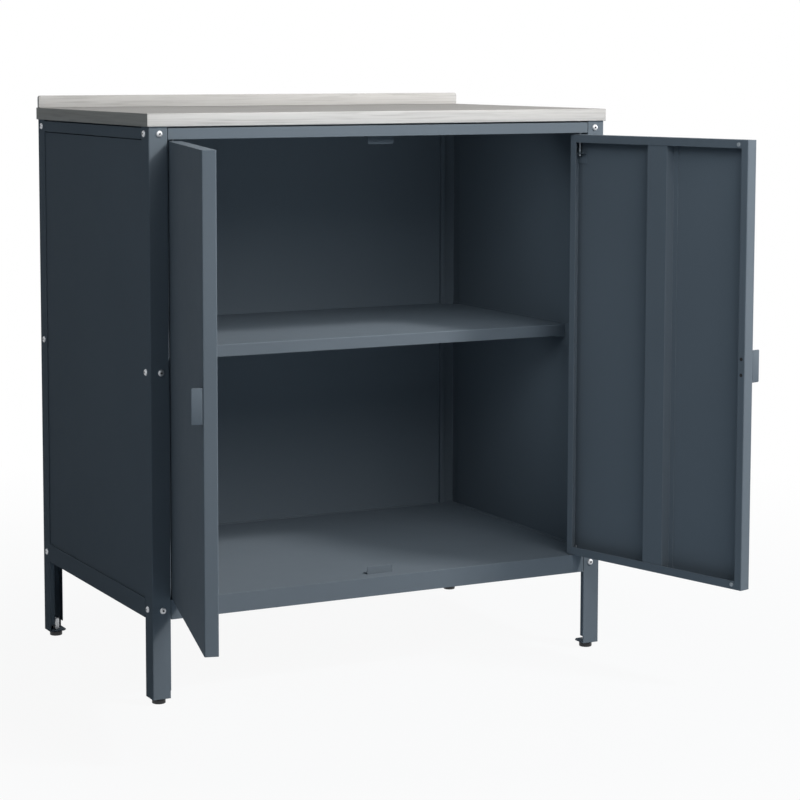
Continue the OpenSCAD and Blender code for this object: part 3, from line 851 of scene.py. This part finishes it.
@dataclass
class Worktop(Assembly):
    """Laminated board with glued edge bands, and the upstand strip at its rear."""

    band: float = 0.001
    band_round: float = 0.00081
    seam: float = 0.00015
    corner: float = 0.004
    strip_round: float = 0.0006

    def build(self) -> list[Object]:
        """Builds board, bands and upstand.

        Returns:
            The finished objects.
        """
        low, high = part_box("worktop")
        board, bands = self.core(low, high), self.bands(low, high)
        return [board, *bands, self.upstand()]

    def core(self, low: Vector, high: Vector) -> Object:
        """Models the board between its edge bands, with faintly broken edges.

        Args:
            low: Lowest corner of the worktop.
            high: Highest corner of the worktop.

        Returns:
            The finished board.
        """
        inset = Vector((self.band, self.band, 0.0))
        board = Piece.block("worktop_board", low + inset, high - inset)
        board.bevel(self.seam, segments=1, test=lambda centre, way: not upright(way))
        board.smooth()
        # The board takes the darker top laminate, which is painted shade
        return board.dress("frame", Slot.LAMINATE, "worktop", self.finishes.top)

    def bands(self, low: Vector, high: Vector) -> list[Object]:
        """Models the four edge bands, each rounded on its outer edges.

        Args:
            low: Lowest corner of the worktop.
            high: Highest corner of the worktop.

        Returns:
            The finished bands: front, rear, left and right.
        """
        # The left and right bands take the darker laminate, which is painted shade
        face, end = self.finishes.face, self.finishes.end_band
        b, x, far_x, z, top = self.band, low.x, high.x, low.z, high.z
        y, far_y = low.y + b, high.y - b
        spans = {
            "front": ((0, -1, 0), low, Vector((far_x, y, top)), face),
            "rear": ((0, 1, 0), Vector((x, far_y, z)), high, face),
            "left": ((-1, 0, 0), Vector((x, y, z)), Vector((x + b, far_y, top)), end),
            "right": ((1, 0, 0), Vector((far_x - b, y, z)), Vector((far_x, far_y, top)), end),
        }
        made = []
        for name, (way_out, start, stop, material) in spans.items():
            out = Vector(way_out)
            reach = max(out.dot(start), out.dot(stop)) - NEAR
            strip = Piece.block(f"worktop_band_{name}", start, stop)
            strip.bevel(
                self.band_round,
                segments=3,
                test=lambda centre, way: out.dot(centre) > reach and not upright(way),
            )
            strip.smooth()
            made.append(strip.dress("frame", Slot.LAMINATE, "worktop", material))
        return made

    def upstand(self) -> Object:
        """Models the upstand with its two rounded upper corners.

        Returns:
            The finished strip.
        """
        low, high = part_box("upstand")
        strip = Piece.block("upstand_strip", low, high)
        top = high.z - NEAR
        strip.bevel(self.corner, segments=6, test=lambda c, way: abs(way.y) > ALONG and c.z > top)
        strip.soften(self.strip_round)
        strip.smooth()
        return strip.dress("frame", Slot.LAMINATE, "upstand", self.finishes.face)


# ---- Frame fasteners


@dataclass
class FrameScrews(Assembly):
    """Button head screws with hexagon sockets, at three levels on both faces of each post."""

    head_radius: float = 0.005
    head_height: float = 0.0027
    rim_share: float = 0.18
    crown: float = 2.6
    crown_steps: tuple[float, ...] = (0.94, 0.86, 0.76, 0.66, 0.56, 0.46)
    least_rise: float = 1e-5
    shank_radius: float = 0.0025
    shank_length: float = 0.008
    socket: float = 0.0035
    socket_margin: float = 0.1
    socket_lip: float = 0.99
    socket_depth: float = 0.0009
    socket_dip: float = 0.0005
    socket_point: float = 0.25
    sides: int = 48
    inset_front: float = 0.017
    inset_side: float = 0.018
    ledge_drop: float = 0.0042

    def levels(self) -> list[float]:
        """Finds the heights of the screws.

        Returns:
            The heights at the tray, the shelf support and the top rail.
        """
        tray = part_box("bottom_tray")
        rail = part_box("top_rail_front")
        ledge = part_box("shelf")[0].z - self.ledge_drop
        return [(tray[0].z + tray[1].z) / 2.0, ledge, (rail[0].z + rail[1].z) / 2.0]

    def pattern(self) -> Piece:
        """Models one screw whose head stands up along Z from the origin.

        Returns:
            The screw.
        """
        full_radius, full_height = self.head_radius, self.head_height
        radius, height = full_radius, full_height * self.rim_share
        screw = Piece.disc("screw_pattern", radius, height, self.sides)
        for share in self.crown_steps:
            wanted = full_radius * share
            domed = full_height * (1.0 - share**self.crown) ** (1.0 / self.crown)
            level = max(domed, height + self.least_rise)
            screw.turn_step(top_cap, level - height, wanted / radius, level)
            radius, height = wanted, level
        self.sink_socket(screw, height)
        screw.turn_step(base_cap, 0.0, self.shank_radius / full_radius, 0.0)
        screw.pull(Vector((0.0, 0.0, -self.shank_length)), base_cap)
        screw.smooth(TURNED_ANGLE)
        return screw

    def sink_socket(self, screw: Piece, height: float) -> None:
        """Turns the top of the head into a hexagon and sinks it, with painted shade on the socket's
        walls and floor.

        Args:
            screw: The screw being modelled.
            height: Height of its top face.
        """
        floor = height - self.socket_depth
        screw.turn_step(top_cap, 0.0, self.socket_lip, height)
        screw.reshape(self.make_hexagon)
        screw.pull(Vector((0.0, 0.0, -self.socket_depth)), top_cap)
        screw.turn_step(top_cap, -self.socket_dip, self.socket_point, floor)
        wall = self.socket * (0.5 + self.socket_margin)
        tip, rim = floor - self.socket_dip - NEAR, height - NEAR
        # The socket's walls and floor take the second, near-black finish: painted shade
        screw.paint(1, lambda centre, normal: tip < centre.z < rim and centre.xy.length < wall)

    def make_hexagon(self, mesh: bmesh.types.BMesh) -> None:
        """Draws the rim of the top face onto a hexagon.

        Args:
            mesh: Mesh of the screw.
        """
        half_turn = math.pi / 6.0
        face = next(f for f in mesh.faces if top_cap(f.calc_center_median(), f.normal))
        for vert in face.verts:
            angle = math.atan2(vert.co.y, vert.co.x)
            slant = (angle + half_turn) % (math.pi / 3.0) - half_turn
            reach = self.socket / 2.0 * math.cos(half_turn) / math.cos(slant)
            vert.co.x, vert.co.y = reach * math.cos(angle), reach * math.sin(angle)

    def on_post(self, pattern: Piece, end: End, side: Side) -> list[Object]:
        """Places the screws of one post.

        Args:
            pattern: The modelled screw.
            end: Front or rear.
            side: Left or right.

        Returns:
            The finished screws.
        """
        low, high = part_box(f"post_{end.word}_{side.word}")
        x, y = (low if side is Side.LEFT else high).x, (low if end is End.FRONT else high).y
        corner = Vector((x, y, 0.0))
        made = []
        for number, z in enumerate(self.levels(), start=1):
            face = corner + Vector((-side.value * self.inset_front, 0.0, z))
            flank = corner + Vector((0.0, -end.value * self.inset_side, z))
            for where, spot, out in (
                ("face", face, Vector((0.0, end.value, 0.0))),
                ("side", flank, Vector((side.value, 0.0, 0.0))),
            ):
                turn = Vector((0.0, 0.0, 1.0)).rotation_difference(out).to_matrix().to_4x4()
                name = f"screw_{end.word}_{side.word}_{where}_{number}"
                screw = pattern.copy(name, Matrix.Translation(spot) @ turn)
                # The second finish is the near-black painted shade in the socket
                zinc, dark = self.finishes.zinc, self.finishes.plug
                made.append(screw.dress("frame", Slot.ZINC, "frame_screws", zinc, dark))
        return made

    def build(self) -> list[Object]:
        """Models one screw and places its copies on the four posts.

        Returns:
            The finished objects.
        """
        pattern = self.pattern()
        made = []
        for end in End:
            for side in Side:
                made += self.on_post(pattern, end, side)
        pattern.discard()
        return made


# ---- Doors


@dataclass
class Door(Assembly):
    """Details of one door, modelled on the closed left leaf: handle, buffers, and dark discs of
    painted shade in the access holes.

    Leaf coordinates start at the hinge pin: u runs towards the free edge, v inwards, z up.
    """

    side: Side
    pin: Point
    open_angle: float = 105.0
    free_edge: float = 0.3555
    skin: float = -0.006
    inner: float = 0.014
    bottom: float = 0.1615
    top: float = 0.8526
    handle_height: float = 0.05
    handle_reach: float = 0.016
    handle_leg: float = 0.014
    handle_sheet: float = 0.0015
    handle_set: float = 0.0008
    handle_fold: float = 0.0022
    tab_corner: float = 0.0018
    leg_corner: float = 0.003
    handle_round: float = 0.0003
    buffer_radius: float = 0.0032
    buffer_height: float = 0.0016
    buffer_round: float = 0.0007
    buffer_dome: float = 0.45
    buffer_inset: float = 0.0182
    buffer_edge: float = 0.0073
    # Dark discs in the access holes over the handle screws, as painted shade
    plug_radius: float = 0.0028
    plug_height: float = 0.0003
    plug_rim: float = 0.85
    plug_dip: float = 0.5
    plug_floor: float = 0.7
    plug_stem: float = 0.0012
    stem_share: float = 0.8
    stem_taper: float = 0.95
    plug_inset: float = 0.0066
    plug_pitch: float = 0.0245
    sides: int = 32

    @property
    def body(self) -> str:
        """Name of the door's body."""
        return f"{self.side.word}_door"

    @property
    def middle(self) -> float:
        """Height of the leaf's middle."""
        return (self.bottom + self.top) / 2.0

    def leaf(self) -> Matrix:
        """Finds the place of the open leaf.

        Returns:
            The matrix from leaf coordinates to the cabinet's.
        """
        turn = Matrix.Rotation(-math.radians(self.open_angle), 4, "Z")
        mirror = Matrix.Scale(-1.0, 4, Vector((1.0, 0.0, 0.0)))
        flip = mirror if self.side is Side.RIGHT else Matrix.Identity(4)
        return Matrix.Translation(Vector(self.pin)) @ flip @ turn

    def build(self) -> list[Object]:
        """Builds the door's modelled details.

        Returns:
            The finished objects.
        """
        return [self.handle(), *self.buffers(), *self.plugs()]

    def handle(self) -> Object:
        """Models the folded handle plate: leg on the skin, tab standing out at the free edge.

        Returns:
            The finished plate.
        """
        skin, half, t = self.skin, self.handle_height / 2.0, self.handle_sheet
        end = self.free_edge - self.handle_set
        tip, root, leg_end = skin - self.handle_reach, skin - t, end - self.handle_leg
        low = Vector((end - t, tip, self.middle - half))
        high = Vector((end, skin, self.middle + half))
        plate = Piece.block(f"handle_plate_{self.side.word}", low, high)
        # The root of the tab is cut off and pulled along the skin as the leg
        plate.cut(Vector((0.0, root, 0.0)), Vector((0.0, 1.0, 0.0)))
        leg = Vector((t - self.handle_leg, 0.0, 0.0))
        plate.pull(leg, lambda c, normal: normal.x < -ALONG and c.y > root)
        fold = end - NEAR
        for width, segments, test in (
            (self.handle_fold, 4, lambda c, way: upright(way) and c.x > fold and c.y > skin - NEAR),
            (self.tab_corner, 5, lambda c, way: abs(way.x) > ALONG and c.y < tip + NEAR),
            (self.leg_corner, 5, lambda c, way: abs(way.y) > ALONG and c.x < leg_end + NEAR),
        ):
            plate.bevel(width, segments, test)
        plate.soften(self.handle_round)
        plate.move(self.leaf())
        plate.smooth()
        return plate.dress(self.body, Slot.STEEL, f"handle_{self.side.word}", self.finishes.steel)

    def on_lip(self, pattern: Piece, name: str, inset: float, heights: Span) -> list[Piece]:
        """Copies a pattern onto the inner face of the free edge's lip, low and high.

        Args:
            pattern: The modelled piece, standing up along Z.
            name: Start of the copies' names.
            inset: Distance from the free edge.
            heights: Heights of the two copies.

        Returns:
            The lower and the upper copy.
        """
        lay = Matrix.Rotation(-math.pi / 2.0, 4, "X")
        copies = []
        for word, z in zip(("lower", "upper"), heights):
            spot = Matrix.Translation(Vector((self.free_edge - inset, self.inner, z)))
            copies.append(pattern.copy(f"{name}_{self.side.word}_{word}", self.leaf() @ spot @ lay))
        pattern.discard()
        return copies

    def buffers(self) -> list[Object]:
        """Models the two soft buffers with domed faces.

        Returns:
            The finished buffers.
        """
        height = self.buffer_height
        pad = Piece.disc("buffer_pattern", self.buffer_radius, height, self.sides)
        top = height - NEAR
        pad.bevel(self.buffer_round, segments=3, test=lambda c, way: c.z > top and not upright(way))
        pad.turn_step(top_cap, 0.0, self.buffer_dome, height)
        pad.smooth()
        heights = (self.bottom + self.buffer_edge, self.top - self.buffer_edge)
        node, rubber = f"door_buffers_{self.side.word}", self.finishes.buffer
        pads = self.on_lip(pad, "buffer", self.buffer_inset, heights)
        return [twin.dress(self.body, Slot.BUFFER, node, rubber) for twin in pads]

    def plugs(self) -> list[Object]:
        """Models two dark discs of painted shade, each with a stem in the access hole over a handle
        screw.

        Returns:
            The finished plugs.
        """
        height, stem = self.plug_height, self.plug_stem
        plug = Piece.disc("plug_pattern", self.plug_radius, height, self.sides)
        for cap, rise, factor, level in (
            (top_cap, 0.0, self.plug_rim, height),
            (top_cap, -height * self.plug_dip, self.plug_floor, height),
            (base_cap, 0.0, self.stem_share, 0.0),
            (base_cap, -stem, self.stem_taper, -stem),
        ):
            plug.turn_step(cap, rise, factor, level)
        plug.smooth(TURNED_ANGLE)
        half = self.plug_pitch / 2.0
        heights = (self.middle - half, self.middle + half)
        pair = self.on_lip(plug, "handle_plug", self.plug_inset, heights)
        return [twin.dress(self.body, Slot.PLASTIC, "", self.finishes.plug) for twin in pair]


def hinge_pin(frame: dict, side: Side) -> Point:
    """Finds a door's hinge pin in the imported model.

    Args:
        side: Side of the door.

    Returns:
        The pin's place, at the height of the floor.
    """
    joint = next(j for j in frame["joints"] if j["child"] == f"{side.word}_door")
    return (joint["pos_m"][0], joint["pos_m"][1], 0.0)


# ---- Feet


@dataclass
class LevellingFoot(Assembly):
    """Moulded pad of one levelling foot, with a fluted rim and a collar under the post."""

    end: End
    side: Side
    flutes: int = 18
    sides_per_flute: int = 4
    flute_depth: float = 0.0004
    chamfer: float = 0.0012
    collar_radius: float = 0.0062
    collar_height: float = 0.0012
    collar_taper: float = 0.94

    def build(self) -> list[Object]:
        """Builds the pad.

        Returns:
            The finished object in a list.
        """
        word = f"{self.end.word}_{self.side.word}"
        low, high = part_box(f"foot_pad_{word}")
        centre = (low + high) / 2.0
        radius, height = (high.x - low.x) / 2.0, high.z - low.z
        collar = height + self.collar_height
        sides = self.flutes * self.sides_per_flute
        pad = Piece.disc(f"foot_{word}", radius, height, sides)
        pad.reshape(self.flute)
        pad.bevel(self.chamfer, segments=3, test=lambda middle, way: not upright(way))
        pad.turn_step(top_cap, 0.0, self.collar_radius / (radius - self.chamfer), height)
        pad.turn_step(top_cap, self.collar_height, self.collar_taper, collar)
        pad.smooth()
        pad.move(Matrix.Translation(Vector((centre.x, centre.y, low.z))))
        return [pad.dress(f"foot_{word}", Slot.PLASTIC, f"foot_pad_{word}", self.finishes.plastic)]

    def flute(self, mesh: bmesh.types.BMesh) -> None:
        """Draws every fourth upright edge of the rim inwards as a shallow flute.

        Args:
            mesh: Mesh of the pad.
        """
        for vert in mesh.verts:
            dip = 0.5 + 0.5 * math.cos(self.flutes * math.atan2(vert.co.y, vert.co.x))
            scale = 1.0 - self.flute_depth / vert.co.xy.length * dip
            vert.co.x *= scale
            vert.co.y *= scale


# ---- Studio


NEUTRAL: Colour = (1.0, 1.0, 1.0)
WARM: Colour = (1.0, 0.945, 0.895)
COOL: Colour = (0.85, 0.94, 1.0)
# Middle of the cabinet, which most lamps face
MIDDLE: Point = (0.0, 0.0, 0.5)
# Metres from the middle to these lamps
LAMP_DISTANCE = 4.0
# Metres to the rear from which a lamp counts as standing behind the cabinet
BEHIND = 1.0


@dataclass(frozen=True)
class Softbox:
    """One rectangular area lamp, hung at a place and turned towards an aim."""

    name: str
    place: Point
    aim: Point
    width: float
    height: float
    watts: float
    tint: Colour = NEUTRAL

    @classmethod
    def on_sphere(
        cls,
        name: str,
        azimuth: float,
        elevation: float,
        size: float,
        watts: float,
        tint: Colour = NEUTRAL,
    ) -> "Softbox":
        """Places a lamp round the cabinet's middle.

        Args:
            name: Name of the lamp.
            azimuth: Degrees to the right of the cabinet's front.
            elevation: Degrees above the horizon.
            size: Width and height of the lamp.
            watts: Power of the lamp.
            tint: Colour of its light.

        Returns:
            The lamp.
        """
        a, e = math.radians(azimuth), math.radians(elevation)
        way = Vector((math.sin(a) * math.cos(e), -math.cos(a) * math.cos(e), math.sin(e)))
        place = Vector(MIDDLE) + LAMP_DISTANCE * way
        return cls(name, tuple(place), MIDDLE, size, size, watts, tint)

    def hang(self) -> Object:
        """Hangs the lamp.

        Returns:
            The lamp's object.
        """
        data = bpy.data.lights.new(self.name, "AREA")
        data.shape = "RECTANGLE"
        data.size, data.size_y, data.energy = self.width, self.height, self.watts
        data.color = self.tint
        lamp = bpy.data.objects.new(self.name, data)
        bpy.context.scene.collection.objects.link(lamp)
        lamp.location = self.place
        back = Vector(self.place) - Vector(self.aim)
        lamp.rotation_euler = back.to_track_quat("Z", "Y").to_euler()
        lamp.visible_camera = False
        # A lamp behind the cabinet lights its back without a glare on the worktop
        lamp.visible_glossy = self.place[1] < BEHIND
        return lamp


@dataclass
class Studio:
    """Pale floor, white surround, soft lamps and the camera.

    The camera stands where the photograph was taken, for a square picture of 800 pixels.
    """

    ambient: float = 0.02
    floor_radius: float = 30.0
    floor_sides: int = 96
    floor_colour: Rgba = (0.31, 0.37, 0.43, 1.0)
    floor_fade: Span = (0.6, 2.0)
    floor_white: Span = (0.93, 1.0)
    camera_at: Point = (-1.649983, -3.235085, 0.969875)
    yaw: float = 0.46362
    pitch: float = 0.09847
    focal_pixels: float = 2289.3
    picture_pixels: float = 800.0
    sensor: float = 36.0
    shift: tuple[float, float] = (0.068, -0.14)
    sight: float = 100.0
    lamps: tuple[Softbox, ...] = (
        Softbox.on_sphere("key", 40.0, 45.0, 0.5, 104.0, WARM),
        Softbox.on_sphere("wide_key", 20.0, 45.0, 1.8, 29.0, WARM),
        Softbox.on_sphere("front", -5.0, 33.0, 1.6, 28.0),
        Softbox.on_sphere("front_left", -58.0, 32.0, 1.6, 19.0, COOL),
        Softbox.on_sphere("front_right", 24.0, 30.0, 1.6, 23.0, WARM),
        Softbox.on_sphere("right", 85.0, 10.0, 1.6, 76.0),
        Softbox.on_sphere("rear_right", 150.0, 12.0, 1.6, 60.0),
        Softbox("inside_fill", (0.0, -0.9, 1.2), (0.0, 0.1, 0.4), 0.6, 0.4, 1.7, COOL),
        Softbox("upper_strip", (0.0, 0.05, 0.845), (0.0, 0.3, 0.5), 0.6, 0.06, 0.24, COOL),
        Softbox("lower_strip", (0.0, 0.05, 0.5), (0.0, 0.3, 0.15), 0.6, 0.06, 0.2, COOL),
    )

    def build(self) -> None:
        """Sets up everything that isn't the cabinet."""
        self.world()
        self.floor()
        for lamp in self.lamps:
            lamp.hang()
        self.camera()
        bpy.context.scene.view_settings.view_transform = "Standard"

    def world(self) -> None:
        """Makes a surround that is seen as white and that lights softly."""
        sheet = NodeSheet(bpy.data.worlds.new("studio"), "ShaderNodeOutputWorld")
        soft = sheet.add("ShaderNodeBackground", Color=WHITE, Strength=self.ambient)
        white = sheet.add("ShaderNodeBackground", Color=WHITE, Strength=1.0)
        mix = sheet.mix_shaders(sheet.background_rays(), soft, white)
        bpy.context.scene.world = sheet.surface(mix)

    def floor(self) -> None:
        """Lays a pale floor that fades to white away from the cabinet and takes its shadow."""
        bpy.ops.object.select_all(action="DESELECT")
        bpy.ops.mesh.primitive_circle_add(
            vertices=self.floor_sides, radius=self.floor_radius, fill_type="NGON"
        )
        floor = bpy.context.object
        floor.name = "studio_floor"
        sheet = NodeSheet.of_material("studio_floor")
        place = sheet.add("ShaderNodeTexCoord").outputs["Object"]
        reach = sheet.operate("ShaderNodeVectorMath", "LENGTH", place).outputs["Value"]
        far = sheet.remap(reach, self.floor_fade, self.floor_white)
        lift = sheet.operate("ShaderNodeMath", "MULTIPLY", far, sheet.background_rays()).outputs[0]
        matt = sheet.add("ShaderNodeBsdfDiffuse", Color=self.floor_colour)
        glow = sheet.add("ShaderNodeEmission", Color=WHITE, Strength=1.0)
        floor.data.materials.append(sheet.surface(sheet.mix_shaders(lift, matt, glow)))

    def camera(self) -> None:
        """Places the camera at the photograph's viewpoint."""
        data = bpy.data.cameras.new("camera")
        data.sensor_width = self.sensor
        data.lens = self.focal_pixels / self.picture_pixels * self.sensor
        data.shift_x, data.shift_y = self.shift
        data.clip_end = self.sight
        camera = bpy.data.objects.new("camera", data)
        bpy.context.scene.collection.objects.link(camera)
        camera.location = self.camera_at
        camera.rotation_euler = (math.pi / 2.0 - self.pitch, 0.0, -self.yaw)
        bpy.context.scene.camera = camera


# ---- Assembly


def dress_nodes(frame: dict, finishes: Finishes) -> None:
    """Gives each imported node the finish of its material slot.

    Args:
        finishes: The cabinet's finishes.
    """
    slots = {part["node"]: part["material_slot"] for part in frame["record"]["subparts"]}
    for name, node in frame["nodes"].items():
        material = finishes.for_node(name, slots[name])
        if not node.material_slots:
            node.data.materials.append(material)
        for slot in node.material_slots:
            slot.material = material


def main() -> None:
    """Builds the dressed cabinet and its studio."""
    logging.basicConfig(level=logging.INFO, format="%(message)s")
    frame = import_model()
    finishes = Finishes()
    dress_nodes(frame, finishes)
    builders: list[Assembly] = [Worktop(finishes), FrameScrews(finishes)]
    builders += [Door(finishes, side, hinge_pin(frame, side)) for side in Side]
    builders += [LevellingFoot(finishes, end, side) for end in End for side in Side]
    for builder in builders:
        for piece in builder.build():
            LOG.info("%s: %d faces", piece.name, len(piece.data.polygons))
    Studio().build()
    bpy.context.view_layer.update()


if __name__ == "__main__":
    main()
